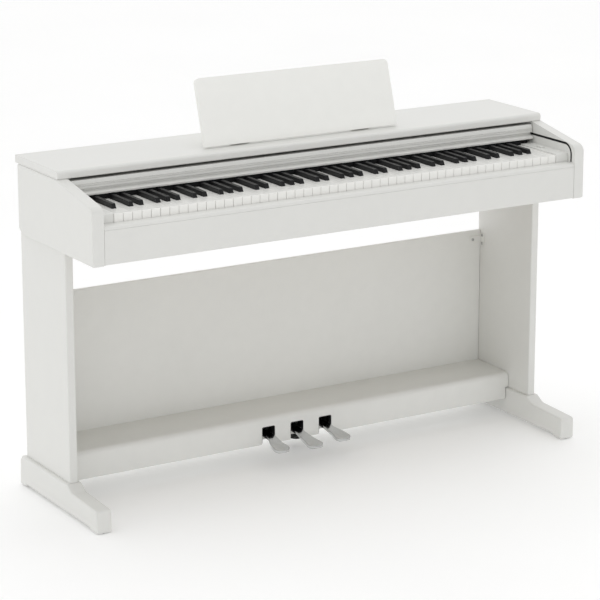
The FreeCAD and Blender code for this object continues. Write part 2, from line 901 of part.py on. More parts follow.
def adjuster():
    """The stay under the pedal box: a screw that turns in the box and a pad on its end."""
    x = dim("adjuster_x")
    y = dim("adjuster_y")
    low = dim("adjuster_low")
    pad = rod("adjuster_disc", "Z", 18, 6, x, y, low)
    socket = rod("adjuster_socket", "Z", 9, 8, x, y, low + 5)
    bore = rod("adjuster_pocket", "Z", 6.1, 30, x, y, low + 3)
    node("adjuster_pad", cut("adjuster_pad", fuse("adjuster_pad_blank", [pad, socket]), [bore]))
    stem = rod("adjuster_stem", "Z", 5, 68, x, y, low + 3.2)
    ball = rod("adjuster_ball", "Z", 6, 8, x, y, low + 3.2)
    wheel = rod("adjuster_wheel", "Z", 15, 7, x, y, low + 14.5)
    node("adjuster_screw", fuse("adjuster_screw", [stem, ball, wheel]))


def brackets():
    """Angle brackets between the rear board and the side panels, with their screws."""
    irons = []
    screws = []
    low = dim("board_top") - 40
    tall = 32
    leaf = 34
    for side in (-1, 1):
        wall = LEG_IN * side
        tag = side + 2
        inner = (wall - 2, wall) if side > 0 else (wall, wall + 2)
        across = (wall - leaf, wall) if side > 0 else (wall, wall + leaf)
        upright = block(f"iron_side_{tag}", inner, (BOARD_FRONT - 16, BOARD_FRONT),
                        (low, low + tall))
        flat = block(f"iron_back_{tag}", across, (BOARD_FRONT - 2, BOARD_FRONT),
                     (low + 7, low + tall - 7))
        irons.append(fuse(f"iron_{tag}", [upright, flat]))
        screws.append(rod(f"screw_back_{tag}", "Y", 4, 2.2, wall - side * (leaf - 8),
                          BOARD_FRONT - 4.2, low + tall / 2))
        start = wall - 4.2 if side > 0 else wall + 2
        for number, rise in enumerate((5, tall - 5)):
            screws.append(rod(f"screw_side_{tag}_{number}", "X", 4, 2.2, start,
                              BOARD_FRONT - 10, low + rise))
    node("angle_brackets", group("angle_brackets", irons))
    node("bracket_screws", group("bracket_screws", screws))


# ---------------------------------------------------------------- pedals

PEDAL_TIP_DEPTH = 18


def pedal(label, middle, flare, tip):
    """A lever on the common shaft: a straight shank that widens to a rounded, flared tip."""
    top_back = dim("pedal_pivot_height") + dim("pedal_thickness") / 2
    low = top_back - dim("pedal_thickness")
    half = dim("pedal_shank") / 2
    head = dim("pedal_head") / 2
    front = dim("box_front")
    back = dim("pedal_pivot_place") + 9
    side = [
        (tip, 51), (tip + 6, 49), (front - 46, 56), (front - 13, 63), (front + 12, low),
        (back, low), (back, top_back), (front + 10, top_back - 0.5), (front - 13, 70.5),
        (front - 46, 63.5), (tip + 7, 57.5), (tip, 55),
    ]
    lever = prism(f"{label}_side", "X", side, middle - 60, middle + 60)
    outline = [(middle - half, back), (middle - half, front - 20),
               (middle - head + 4 + flare, tip + 42)]
    for step in range(-4, 5):
        angle = math.radians(22.5 * step)
        outline.append((middle + head * math.sin(angle) + flare,
                        tip + PEDAL_TIP_DEPTH * (1 - math.cos(angle))))
    outline += [(middle + head - 4 + flare, tip + 42), (middle + half, front - 20),
                (middle + half, back)]
    rounds = [(corner, 14) for corner in range(3, 12)]
    plan = prism(f"{label}_plan", "Z", outline, 20, 120, rounds)
    common = doc.addObject("Part::Common", f"{label}_blank")
    common.Base = lever
    common.Tool = plan
    hub = rod(f"{label}_hub", "X", 8, dim("pedal_shank"), middle - half,
              dim("pedal_pivot_place"), dim("pedal_pivot_height"))
    bore = rod(f"{label}_bore", "X", 4.1, 80, middle - 40, dim("pedal_pivot_place"),
               dim("pedal_pivot_height"))
    node(label, cut(label, fuse(f"{label}_lever", [common, hub]), [bore]))


def pedals():
    spacing = dim("pedal_spacing")
    pedal("pedal_left", -spacing, -6, -49)
    pedal("pedal_center", as_size(0), 0, -62)
    pedal("pedal_right", spacing, 6, -49)


def pedal_frame():
    """The dark housing in the pedal box: slot linings, walls between the pedals and the shaft."""
    spacing = dim("pedal_spacing")
    half = dim("pedal_slot") / 2
    front = dim("box_front")
    face = front + dim("box_wall") + 0.2
    low = dim("box_under") + dim("box_wall")
    high = dim("box_top") - dim("box_wall") - 6
    side = 130
    rear = 168
    pieces = [
        rod("pedal_shaft", "X", 4, 2 * side, -side, dim("pedal_pivot_place"),
            dim("pedal_pivot_height")),
        block("frame_face", (-side, side), (face, face + 2), (low, high)),
        block("frame_roof", (-side, side), (face, rear), (high - 2, high)),
        block("frame_rear", (-side, side), (rear - 2, rear), (low, high)),
    ]
    for number, middle in enumerate((-side + 4, -spacing / 2, spacing / 2, side - 4)):
        pieces.append(block(f"frame_wall_{number}", (middle - 4, middle + 4), (face, 100),
                            (low, high)))
        pieces.append(block(f"shaft_bearing_{number}", (middle - 4, middle + 4), (131, rear),
                            (low, high)))
    wall = 1.2
    rooms = []
    for number in (-1, 0, 1):
        middle = spacing * number
        tag = number + 2
        pieces.append(slot_opening(f"slot_lining_{tag}", middle, half, low - 6,
                                   dim("pedal_slot_top"), front + 0.3, face + 1, 4))
        rooms.append(slot_opening(f"slot_room_{tag}", middle, half - wall, low - 20,
                                  dim("pedal_slot_top") - wall, front - 2, face + 4, 3))
    node("pedal_frame", cut("pedal_frame", fuse("pedal_frame_blank", pieces), rooms))


# ---------------------------------------------------------------- music rest

def leaned(obj, lean):
    """Turn a piece built upright about the rest's hinge axis, leaning it back."""
    place(obj, 0, dim("rest_axis_place"), dim("unit_height") + dim("rest_axis_rise"))
    obj.Placement.Rotation = FreeCAD.Rotation(Vector(1, 0, 0), -lean)
    return obj


HINGE_PLACES = (-170, 170)
SUPPORT_PLACES = (-215, 215)


def music_rest():
    """A plain board with barrels at its foot and lugs on its back."""
    half = dim("rest_width") / 2
    length = dim("rest_length")
    foot = dim("rest_foot")
    rear = -dim("rest_ahead")
    outline = [(-half, foot), (half, foot), (half, length), (-half, length)]
    board = prism("rest_board", "Y", outline, rear - dim("rest_thickness"), rear,
                  [(2, 12), (3, 12)])
    pieces = [board]
    tools = []
    for number, middle in enumerate(HINGE_PLACES):
        pieces.append(rod(f"rest_barrel_{number}", "X", 5, 24, middle - 12, 0, 0))
        pieces.append(block(f"barrel_arm_{number}", (middle - 12, middle + 12), (rear - 1, 0),
                            (-4.5, 4.5)))
        tools.append(rod(f"rest_pin_bore_{number}", "X", 2.6, 60, middle - 30, 0, 0))
    away = dim("support_pivot")
    for number, middle in enumerate(SUPPORT_PLACES):
        for side in (-1, 1):
            edge = middle + side * 9
            pieces.append(block(f"rest_lug_{number}_{side + 2}", (edge - 2, edge + 2),
                                (rear - 1, rear + 4.2), (away - 4, away + 4)))
        tools.append(rod(f"support_pin_bore_{number}", "X", 1.1, 40, middle - 20,
                         rear + dim("support_ahead"), away))
    rest = cut("music_rest", fuse("rest_pieces", pieces), tools)
    node("music_rest", leaned(rest, SIZES["rest_lean"]))


def rest_hinges():
    """Hinge bases screwed to the top board, each with two knuckles and a pin."""
    top = dim("unit_height")
    axis_y = dim("rest_axis_place")
    axis_z = top + dim("rest_axis_rise")
    bases = []
    for number, middle in enumerate(HINGE_PLACES):
        pieces = [block(f"hinge_plate_{number}", (middle - 26, middle + 26),
                        (axis_y - 4, axis_y + 24), (top, top + 1.8))]
        for side in (-1, 1):
            edge = middle + side * 18.5
            pieces.append(rod(f"knuckle_{number}_{side + 2}", "X", 4.5, 9, edge - 4.5, axis_y,
                              axis_z))
            pieces.append(block(f"knuckle_foot_{number}_{side + 2}", (edge - 4.5, edge + 4.5),
                                (axis_y - 4, axis_y + 4), (top + 1, axis_z)))
        pieces.append(rod(f"hinge_pin_{number}", "X", 2.5, 46, middle - 23, axis_y, axis_z))
        bases.append(fuse(f"hinge_base_{number}", pieces))
    node("rest_hinges", group("rest_hinges", bases))


def rest_supports():
    """Two struts that swing down from the board's back and stand on the top board."""
    lean = math.radians(SIZES["rest_lean"])
    away = SIZES["support_pivot"]
    behind = SIZES["support_ahead"] - SIZES["rest_ahead"]
    axis_y = SIZES["rest_axis_place"] + away * math.sin(lean) + behind * math.cos(lean)
    axis_z = (SIZES["unit_height"] + SIZES["rest_axis_rise"] + away * math.cos(lean)
              - behind * math.sin(lean))
    angle = math.radians(SIZES["support_angle"])
    length = (axis_z - 1.5 - SIZES["unit_height"] - 0.25) / math.cos(angle)
    struts = []
    for number, middle in enumerate(SUPPORT_PLACES):
        pieces = [
            block(f"strut_bar_{number}", (middle - 6, middle + 6), (-1.5, 1.5), (-length, 0)),
            rod(f"strut_top_{number}", "X", 1.5, 12, middle - 6, 0, 0),
            rod(f"strut_foot_{number}", "X", 1.5, 12, middle - 6, 0, -length),
            rod(f"strut_pin_{number}", "X", 1.0, 22, middle - 11, 0, 0),
        ]
        strut = fuse(f"strut_{number}", pieces)
        strut.Placement = FreeCAD.Placement(
            Vector(0, axis_y, axis_z), FreeCAD.Rotation(Vector(1, 0, 0), SIZES["support_angle"]))
        struts.append(strut)
    node("rest_supports", group("rest_supports", struts))


# ---------------------------------------------------------------- electronics

def electronics():
    plate = block("board_plate", (-200, 420), (85, 160), (BED + 6, BED + 7.6))
    parts = [plate]
    for number, (at, wide, tall) in enumerate(((-150, 40, 5), (-60, 30, 4), (60, 60, 22),
                                                (200, 24, 18), (280, 30, 30))):
        parts.append(block(f"board_part_{number}", (at, at + wide), (105, 140),
                           (BED + 7, BED + 7 + tall)))
    for number, at in enumerate((-190, 100, 400)):
        parts.append(rod(f"board_post_{number}", "Z", 4, 6.5, at, 120, BED))
    node("main_board", fuse("main_board", parts))
    barrel = rod("inlet_barrel", "Y", 6, 14, 420, dim("arm_back") - 15, 665)
    hollow = rod("inlet_bore", "Y", 2.8, 12, 420, dim("arm_back") - 12, 665)
    pin = rod("inlet_pin", "Y", 1, 10, 420, dim("arm_back") - 13, 665)
    socket = cut("inlet_socket", barrel, [hollow])
    node("power_inlet", fuse("power_inlet", [socket, pin]))
    drivers = []
    for side in (-1, 1):
        at = side * SPEAKER_PLACE
        flange = rod(f"driver_flange_{side + 2}", "Z", 62, 3, at, SPEAKER_MIDDLE, BED)
        basket = doc.addObject("Part::Cone", f"driver_basket_{side + 2}")
        bind(basket, "Radius1", 52)
        bind(basket, "Radius2", 34)
        bind(basket, "Height", 24)
        place(basket, at, SPEAKER_MIDDLE, BED + 2)
        magnet = rod(f"driver_magnet_{side + 2}", "Z", 36, 14, at, SPEAKER_MIDDLE, BED + 25)
        cone = doc.addObject("Part::Cone", f"driver_cone_{side + 2}")
        bind(cone, "Radius1", 46)
        bind(cone, "Radius2", 16)
        bind(cone, "Height", 18)
        place(cone, at, SPEAKER_MIDDLE, BED - 0.1)
        drivers.append(cut(f"driver_{side + 2}", fuse(f"driver_blank_{side + 2}",
                                                       [flange, basket, magnet]), [cone]))
    node("speakers", group("speakers", drivers))
    shell = block("jack_shell", (PHONES_MIDDLE - 39.5, PHONES_MIDDLE + 39.5),
                  (PHONES_FRONT - 15.5, PHONES_FRONT + 15.5), (FLOOR_OF_UNIT, BED + 22))
    jacks = []
    for number, step in enumerate((-PHONES_STEP / 2, PHONES_STEP / 2)):
        jacks.append(rod(f"phones_bore_{number}", "Z", 3.2, 28, PHONES_MIDDLE + step,
                         PHONES_FRONT, FLOOR_OF_UNIT - 1))
    node("jack_box", cut("jack_box", shell, jacks))


# ---------------------------------------------------------------- build and write

def build():
    top_board()
    arms()
    back_panel()
    bottom_board()
    front_rail()
    key_slip()
    end_blocks()
    controls()
    cover()
    cover_drive()
    key_felt()
    keyboard()
    key_chassis()
    legs()
    feet()
    rear_board()
    pedal_box()
    adjuster()
    brackets()
    pedals()
    pedal_frame()
    music_rest()
    rest_hinges()
    rest_supports()
    electronics()


def check():
    doc.recompute()
    faults = []
    for obj in doc.Objects:
        if "Invalid" in obj.State or "Error" in obj.State:
            faults.append(f"{obj.Label}: {obj.State}")
    labels = [obj.Label for obj in NODES]
    if len(set(labels)) != len(labels):
        faults.append("two sub-parts share a name")
    for obj in NODES:
        if obj.Shape.isNull() or not obj.Shape.isValid() or not obj.Shape.Solids:
            faults.append(f"{obj.Label}: bad shape")
    if faults:
        raise RuntimeError("; ".join(faults))


def write():
    os.makedirs("parts", exist_ok=True)
    for obj in NODES:
        obj.Shape.exportStep(f"parts/{obj.Label}.step")
        box = obj.Shape.BoundBox
        print(f"{obj.Label:24s} {len(obj.Shape.Solids):3d} solids  "
              f"X {box.XMin:8.2f} {box.XMax:8.2f}  Y {box.YMin:8.2f} {box.YMax:8.2f}  "
              f"Z {box.ZMin:8.2f} {box.ZMax:8.2f}")


build()
check()
write()
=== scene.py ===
import json
import math

import bmesh
import bpy
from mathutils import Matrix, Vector


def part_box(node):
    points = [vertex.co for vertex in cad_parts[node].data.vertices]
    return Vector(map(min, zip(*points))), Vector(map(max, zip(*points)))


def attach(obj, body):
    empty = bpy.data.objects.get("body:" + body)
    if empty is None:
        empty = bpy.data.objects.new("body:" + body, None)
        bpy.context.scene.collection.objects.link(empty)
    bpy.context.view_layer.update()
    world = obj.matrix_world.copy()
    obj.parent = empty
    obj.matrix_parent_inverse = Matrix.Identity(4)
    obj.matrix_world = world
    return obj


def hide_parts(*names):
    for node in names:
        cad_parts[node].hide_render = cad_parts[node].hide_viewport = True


# A console digital piano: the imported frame, dressed with fine edges, procedural materials and the
# small parts whose shape matters up close. +X is the player's right, -Y the front, +Z up, metres.

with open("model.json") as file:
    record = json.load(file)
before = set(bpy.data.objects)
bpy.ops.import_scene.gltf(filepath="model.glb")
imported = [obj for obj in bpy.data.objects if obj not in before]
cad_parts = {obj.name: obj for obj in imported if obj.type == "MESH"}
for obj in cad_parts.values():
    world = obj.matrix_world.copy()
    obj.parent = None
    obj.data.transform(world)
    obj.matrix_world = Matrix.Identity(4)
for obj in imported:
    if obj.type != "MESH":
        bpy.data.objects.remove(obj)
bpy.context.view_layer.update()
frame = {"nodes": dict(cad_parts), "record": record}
MM = 0.001


# ---------------------------------------------------------------- materials

class Shader:
    """One material's node tree, with short calls for the nodes it is built from."""

    def __init__(self, name):
        self.mat = bpy.data.materials.new(name)
        self.mat.use_nodes = True
        self.tree = self.mat.node_tree
        self.tree.nodes.clear()
        self.bsdf = self.tree.nodes.new("ShaderNodeBsdfPrincipled")
        out = self.tree.nodes.new("ShaderNodeOutputMaterial")
        self.tree.links.new(self.bsdf.outputs[0], out.inputs["Surface"])
        self.place = self.tree.nodes.new("ShaderNodeTexCoord").outputs["Object"]
        self.mat.diffuse_color = (0.8, 0.8, 0.8, 1)

    def node(self, kind, **settings):
        made = self.tree.nodes.new(kind)
        for key, value in settings.items():
            setattr(made, key, value)
        return made

    def feed(self, socket, value):
        if isinstance(value, bpy.types.NodeSocket):
            self.tree.links.new(value, socket)
        elif isinstance(value, tuple) and len(value) == 3 and socket.type == "RGBA":
            socket.default_value = (*value, 1)
        else:
            socket.default_value = value

    def stretched(self, scale):
        """The object's coordinates, scaled per axis."""
        made = self.node("ShaderNodeMapping")
        self.feed(made.inputs["Vector"], self.place)
        made.inputs["Scale"].default_value = scale
        return made.outputs[0]

    def noise(self, scale, detail=2.0, rough=0.5, stretch=None, distortion=0.0):
        made = self.node("ShaderNodeTexNoise")
        self.feed(made.inputs["Vector"], self.stretched(stretch) if stretch else self.place)
        made.inputs["Scale"].default_value = scale
        made.inputs["Detail"].default_value = detail
        made.inputs["Roughness"].default_value = rough
        made.inputs["Distortion"].default_value = distortion
        return made.outputs["Fac"]

    def cells(self, scale, feature="F1", stretch=None):
        made = self.node("ShaderNodeTexVoronoi", feature=feature)
        self.feed(made.inputs["Vector"], self.stretched(stretch) if stretch else self.place)
        made.inputs["Scale"].default_value = scale
        return made.outputs["Distance"]

    def remap(self, value, low, high, to_low=0.0, to_high=1.0):
        made = self.node("ShaderNodeMapRange", clamp=True)
        self.feed(made.inputs["Value"], value)
        for key, number in (("From Min", low), ("From Max", high),
                            ("To Min", to_low), ("To Max", to_high)):
            made.inputs[key].default_value = number
        return made.outputs[0]

    def math(self, operation, a, b=0.0):
        made = self.node("ShaderNodeMath", operation=operation)
        self.feed(made.inputs[0], a)
        self.feed(made.inputs[1], b)
        return made.outputs[0]

    def mix(self, amount, a, b):
        made = self.node("ShaderNodeMix", data_type="RGBA")
        self.feed(made.inputs[0], amount)
        self.feed(made.inputs[6], a)
        self.feed(made.inputs[7], b)
        return made.outputs[2]

    def blend(self, amount, a, b):
        made = self.node("ShaderNodeMix", data_type="FLOAT")
        self.feed(made.inputs[0], amount)
        self.feed(made.inputs[2], a)
        self.feed(made.inputs[3], b)
        return made.outputs[0]

    def axis(self, letter):
        made = self.node("ShaderNodeSeparateXYZ")
        self.feed(made.inputs[0], self.place)
        return made.outputs[letter]

    def edges(self, radius):
        """1 along sharp and rounded edges, 0 on flat faces."""
        bevel = self.node("ShaderNodeBevel", samples=4)
        bevel.inputs["Radius"].default_value = radius
        normal = self.node("ShaderNodeNewGeometry").outputs["Normal"]
        dot = self.node("ShaderNodeVectorMath", operation="DOT_PRODUCT")
        self.feed(dot.inputs[0], bevel.outputs[0])
        self.feed(dot.inputs[1], normal)
        return self.remap(dot.outputs["Value"], 0.995, 0.90)

    def bump(self, height, distance, below=None):
        made = self.node("ShaderNodeBump")
        made.inputs["Strength"].default_value = 1.0
        made.inputs["Distance"].default_value = distance
        self.feed(made.inputs["Height"], height)
        if below is not None:
            self.feed(made.inputs["Normal"], below)
        return made.outputs[0]

    def set(self, **sockets):
        for key, value in sockets.items():
            self.feed(self.bsdf.inputs[key.replace("_", " ")], value)


def shade(color, factor):
    return tuple(min(1.0, c * factor) for c in color)


def coated(name, color, rough, mottle=0.015, spread=0.05, grain=2e-5, grain_scale=1400,
           stretch=None, wear_and_highlight=0.94, wear_and_highlight_width=0.0012, marks=0.0, **sockets):
    """Paint, foil or moulded plastic: soft mottling, a fine skin, and edges toned by a factor,
    rubbed by use on the white pieces and lightened as a painted highlight on the black keys.
    """
    sh = Shader(name)
    broad = sh.noise(3.5, 5, 0.6)
    cloud = sh.noise(28, 3, 0.55)
    skin = sh.noise(grain_scale, 2, 0.5, stretch)
    tone = sh.math("ADD", sh.math("MULTIPLY", broad, 0.6), sh.math("MULTIPLY", cloud, 0.4))
    body = sh.mix(sh.remap(tone, 0.3, 0.7), shade(color, 1 - mottle), shade(color, 1 + mottle))
    # Edge tint: darker edges on white pieces are wear; the much lighter edges on the black keys are
    # a painted highlight.
    edge = sh.math("MULTIPLY", sh.edges(wear_and_highlight_width), sh.remap(sh.noise(60, 4), 0.35, 0.62))
    body = sh.mix(sh.math("MULTIPLY", edge, 0.7), body, shade(color, wear_and_highlight))
    matt = sh.remap(sh.blend(0.45, skin, cloud), 0.32, 0.68, rough - spread, rough + spread)
    if marks:
        fine = sh.remap(sh.noise(900, 1, 0.4, (1, 0.02, 1)), 0.62, 0.72)
        matt = sh.math("ADD", matt, sh.math("MULTIPLY", fine, marks))
    matt = sh.blend(edge, matt, max(0.05, rough - 0.08))
    normal = sh.bump(skin, grain, sh.bump(cloud, 4e-5))
    sh.set(Base_Color=body, Roughness=matt, Normal=normal, **sockets)
    return sh.mat


def metal(name, color, rough, brush=None, scratch=0.0, rim=1.0, rim_width=0.0008, **sockets):
    """Bare or plated metal with a brushed grain or fine wiping marks, and rims darkened by a factor
    as a painted dark reflection.
    """
    sh = Shader(name)
    cloud = sh.noise(45, 4, 0.6)
    grain = sh.noise(700, 3, 0.55, brush or (1, 1, 1))
    tone = sh.mix(sh.remap(cloud, 0.35, 0.65), shade(color, 0.94), shade(color, 1.04))
    matt = sh.remap(sh.blend(0.5, grain, cloud), 0.3, 0.7, rough * 0.65, rough * 1.45)
    if scratch:
        lines = sh.remap(sh.noise(1600, 1, 0.3, (0.03, 1, 1)), 0.66, 0.74)
        matt = sh.math("ADD", matt, sh.math("MULTIPLY", lines, scratch))
    # A rim factor below 1 darkens the edges as a painted dark reflection, as on the chrome pedals.
    edge = sh.edges(rim_width)
    tone = sh.mix(edge, tone, shade(color, rim))
    matt = sh.blend(edge, matt, rough * 0.7)
    normal = sh.bump(grain, 3e-6 if not brush else 1e-5)
    sh.set(Base_Color=tone, Roughness=matt, Normal=normal, Metallic=1.0, **sockets)
    return sh.mat


def felt_material(name, color):
    """Pressed wool: short crossing fibres over a soft uneven nap."""
    sh = Shader(name)
    long = sh.noise(2600, 3, 0.7, (0.15, 1, 1), 0.8)
    cross = sh.noise(2600, 3, 0.7, (1, 0.2, 0.4), 0.8)
    nap = sh.noise(180, 4, 0.6)
    fibres = sh.blend(0.5, long, cross)
    tone = sh.mix(sh.remap(fibres, 0.35, 0.65), shade(color, 0.55), shade(color, 1.35))
    tone = sh.mix(sh.math("MULTIPLY", sh.remap(nap, 0.4, 0.7), 0.3), tone, shade(color, 0.7))
    normal = sh.bump(fibres, 1.2e-4, sh.bump(nap, 2e-4))
    sh.set(Base_Color=tone, Roughness=0.95, Normal=normal, Sheen_Weight=0.08,
           Sheen_Roughness=0.5, Specular_IOR_Level=0.1)
    return sh.mat


def board_material(name, plate_top):
    """A printed circuit: green mask, pale tracks, and dark parts standing on it."""
    sh = Shader(name)
    tracks = sh.remap(sh.cells(190, "DISTANCE_TO_EDGE", (1, 0.55, 1)), 0.02, 0.05)
    mask = sh.mix(tracks, (0.03, 0.22, 0.09), (0.012, 0.12, 0.05))
    pads = sh.remap(sh.cells(330), 0.10, 0.14)
    mask = sh.mix(pads, (0.55, 0.5, 0.4), mask)
    raised = sh.remap(sh.axis("Z"), plate_top + 0.0001, plate_top + 0.0006)
    parts = sh.mix(sh.remap(sh.noise(120, 2), 0.45, 0.55), (0.02, 0.02, 0.022),
                   (0.07, 0.07, 0.075))
    sh.set(Base_Color=sh.mix(raised, mask, parts),
           Roughness=sh.remap(sh.noise(300, 3), 0.3, 0.7, 0.28, 0.5),
           Normal=sh.bump(tracks, 6e-5))
    return sh.mat


def fibreboard(name, color):
    """The paper-faced fibreboard of hidden panels: pale fibres and pressed specks."""
    sh = Shader(name)
    fibres = sh.noise(420, 6, 0.75, (1, 1, 0.35), 0.6)
    specks = sh.remap(sh.cells(260), 0.05, 0.16)
    broad = sh.noise(5, 4)
    tone = sh.mix(sh.remap(fibres, 0.36, 0.64), shade(color, 0.86), shade(color, 1.08))
    tone = sh.mix(specks, shade(color, 0.72), tone)
    tone = sh.mix(sh.math("MULTIPLY", broad, 0.25), tone, shade(color, 0.9))
    sh.set(Base_Color=tone, Roughness=sh.remap(fibres, 0.3, 0.7, 0.68, 0.86),
           Normal=sh.bump(fibres, 9e-5))
    return sh.mat


def paper_cone(name, color):
    """Pressed paper pulp of a speaker cone."""
    sh = Shader(name)
    pulp = sh.noise(900, 5, 0.8, None, 1.2)
    tone = sh.mix(sh.remap(pulp, 0.35, 0.65), shade(color, 0.7), shade(color, 1.5))
    sh.set(Base_Color=tone, Roughness=sh.remap(pulp, 0.3, 0.7, 0.7, 0.9),
           Normal=sh.bump(pulp, 1.4e-4))
    return sh.mat


WHITE = (0.752, 0.752, 0.725)
MATERIALS = {
    "case": coated("white_satin_foil", WHITE, 0.40, grain=1.6e-5, spread=0.05, wear_and_highlight=0.93),
    # The music rest's white is lifted above the case white as painted light, for the brighter light
    # on its tilted face.
    "rest_paint": coated("white_satin_paint_lifted_as_painted_light", shade(WHITE, 1.19), 0.42, grain=1.6e-5),
    # This board white is lifted above the case white as painted light, making up for the shade on
    # the enclosed rear board.
    "panel_board": coated("white_board_foil_lifted_as_painted_light", shade(WHITE, 1.06), 0.48, grain=2.4e-5,
                          mottle=0.02),
    "backing": fibreboard("bare_fibreboard", (0.47, 0.42, 0.34)),
    "cover_metal": coated("white_cover_lacquer", shade(WHITE, 0.98), 0.30, grain=8e-6,
                          spread=0.04),
    "white_plastic": coated("white_moulded_plastic", shade(WHITE, 1.01), 0.42,
                            grain=2.5e-5, grain_scale=2200),
    "natural_key": coated("key_white", (0.90, 0.895, 0.865), 0.22, mottle=0.008, spread=0.05,
                          grain=6e-6, grain_scale=1800, stretch=(1, 0.12, 1), wear_and_highlight=0.97,
                          wear_and_highlight_width=0.0007, marks=0.05, Coat_Weight=0.25, Coat_Roughness=0.12),
    # The black keys' edges are lightened sevenfold as a painted highlight along their tops.
    "sharp_key": coated("key_black", (0.012, 0.012, 0.013), 0.34, mottle=0.1, spread=0.06,
                        grain=1.2e-5, grain_scale=2400, stretch=(1, 0.15, 1), wear_and_highlight=7.0,
                        wear_and_highlight_width=0.0008, marks=0.06, Specular_IOR_Level=0.22),
    "black_plastic": coated("black_moulded_plastic", (0.016, 0.016, 0.017), 0.46, mottle=0.1,
                            grain=3e-5, grain_scale=2600, wear_and_highlight=2.0, Specular_IOR_Level=0.25),
    "felt": felt_material("black_felt", (0.012, 0.012, 0.013)),
    "soft_rubber": coated("black_rubber", (0.02, 0.02, 0.02), 0.78, mottle=0.12, spread=0.08,
                          grain=6e-5, grain_scale=1600, wear_and_highlight=1.7),
    "grey_rubber": coated("grey_silicone", (0.30, 0.30, 0.31), 0.62, mottle=0.05,
                          grain=4e-5, wear_and_highlight=1.1),
    "steel": metal("zinc_plated_steel", (0.56, 0.56, 0.55), 0.34, brush=(0.2, 1, 1)),
    # The chrome's rims are darkened to 0.30 as a painted dark reflection round the pedal edges.
    "pedal_chrome": metal("polished_chrome", (0.64, 0.645, 0.65), 0.12, scratch=0.06, rim=0.30,
                          rim_width=0.0022),
    "bracket_paint": coated("white_painted_steel", shade(WHITE, 1.05), 0.38, grain=2e-5),
    "speaker_black": metal("stamped_basket", (0.10, 0.10, 0.105), 0.5, brush=(1, 1, 1)),
}
CIRCUITS = {
    "main_board": board_material("main_board_circuit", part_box("main_board")[0].z + 0.0076),
    "contact_board": board_material("contact_circuit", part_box("contact_board")[1].z + 0.001),
}


# ---------------------------------------------------------------- dressing the CAD pieces

SLOTS = {row["node"]: row["material_slot"] for row in frame["record"]["subparts"]}


def add_edges(obj, width, segments=2, angle=32, ring_faced=False):
    """Joins the shells of a tessellated piece, clears its flat faces and rounds its edges.

    A piece with thin ring-shaped faces keeps its triangles, since clearing them fills the ring."""
    weld = obj.modifiers.new("join", "WELD")
    weld.merge_threshold = 2e-6
    if not ring_faced:
        flat = obj.modifiers.new("flat", "DECIMATE")
        flat.decimate_type = "DISSOLVE"
        flat.angle_limit = math.radians(0.6)
    bevel = obj.modifiers.new("edge", "BEVEL")
    bevel.width = width
    bevel.segments = segments
    bevel.limit_method = "ANGLE"
    bevel.angle_limit = math.radians(angle)
    bevel.use_clamp_overlap = True
    bevel.miter_outer = "MITER_ARC"
    even = obj.modifiers.new("even", "WEIGHTED_NORMAL")
    even.keep_sharp = False
    even.weight = 80
    for face in obj.data.polygons:
        face.use_smooth = True


EDGE_WIDTHS = {
    "case": 1.0, "rest_paint": 1.2, "panel_board": 0.6, "backing": 0.4, "cover_metal": 0.5,
    "white_plastic": 0.5, "natural_key": 0.45, "sharp_key": 0.9, "black_plastic": 0.4,
    "felt": 0.5, "soft_rubber": 0.8, "grey_rubber": 0.5, "steel": 0.3, "pedal_chrome": 1.6,
    "bracket_paint": 0.4, "circuit": 0.15, "speaker_black": 0.4,
}
for name, obj in frame["nodes"].items():
    slot = SLOTS[name]
    material = CIRCUITS[name] if slot == "circuit" else MATERIALS[slot]
    if not obj.material_slots:
        obj.data.materials.append(material)
    for place in obj.material_slots:
        place.material = material
    lined = name == "cover_guides"
    add_edges(obj, (0.08 if lined else EDGE_WIDTHS[slot]) * MM,
              3 if slot in ("pedal_chrome", "sharp_key") else 2, ring_faced=lined)


# ---------------------------------------------------------------- small parts made in full

def turned(bm, centre, outline, segments=64, shape=None):
    """Turns an outline of (radius, height) points, in mm, round an upright axis at centre."""
    rings = []
    for radius, height in outline:
        if radius == 0:
            rings.append([bm.verts.new(centre + Vector((0, 0, height * MM)))])
            continue
        ring = []
        for step in range(segments):
            angle = 2 * math.pi * step / segments
            away = (shape(radius, height, angle) if shape else radius) * MM
            ring.append(bm.verts.new(centre + Vector((away * math.cos(angle),
                                                      away * math.sin(angle), height * MM))))
        rings.append(ring)
    for near, far in zip(rings, rings[1:]):
        for step in range(segments):
            corners = [near[step % len(near)], near[(step + 1) % len(near)],
                       far[(step + 1) % len(far)], far[step % len(far)]]
            corners = list(dict.fromkeys(corners))
            if len(corners) > 2:
                bm.faces.new(corners)


def piece(name, bm, material, body, node):
    """Makes the mesh an object that rides on its body and stands for its CAD node."""
    bmesh.ops.recalc_face_normals(bm, faces=bm.faces[:])
    mesh = bpy.data.meshes.new(name)
    bm.to_mesh(mesh)
    bm.free()
    mesh.materials.append(material)
    for face in mesh.polygons:
        face.use_smooth = True
    mesh.set_sharp_from_angle(angle=math.radians(38))
    obj = bpy.data.objects.new(name, mesh)
    bpy.context.scene.collection.objects.link(obj)
    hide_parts(node)
    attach(obj, body)


def separate_parts(node, reach):
    """The (lowest, highest) corners of each small solid in a node, reach metres apart or more."""
    groups = []
    for vertex in frame["nodes"][node].data.vertices:
        for group in groups:
            if (vertex.co - group[0]).length < reach:
                group.append(vertex.co)
                break
        else:
            groups.append([vertex.co])
    corners = []
    for group in groups:
        low = Vector([min(co[axis] for co in group) for axis in range(3)])
        high = Vector([max(co[axis] for co in group) for axis in range(3)])
        corners.append((low, high))
    return corners


SCREW_RINGS = (0, 0.1, 0.2, 0.3, 0.4, 0.5, 0.6, 0.72, 0.84, 0.93, 1.0, 1.0)
SCREW_STEPS = 48
DOME_FALL = 0.42
RECESS_HALF_WIDTH = 0.13
RECESS_REACH = 0.55
RECESS_DEPTH = 0.5


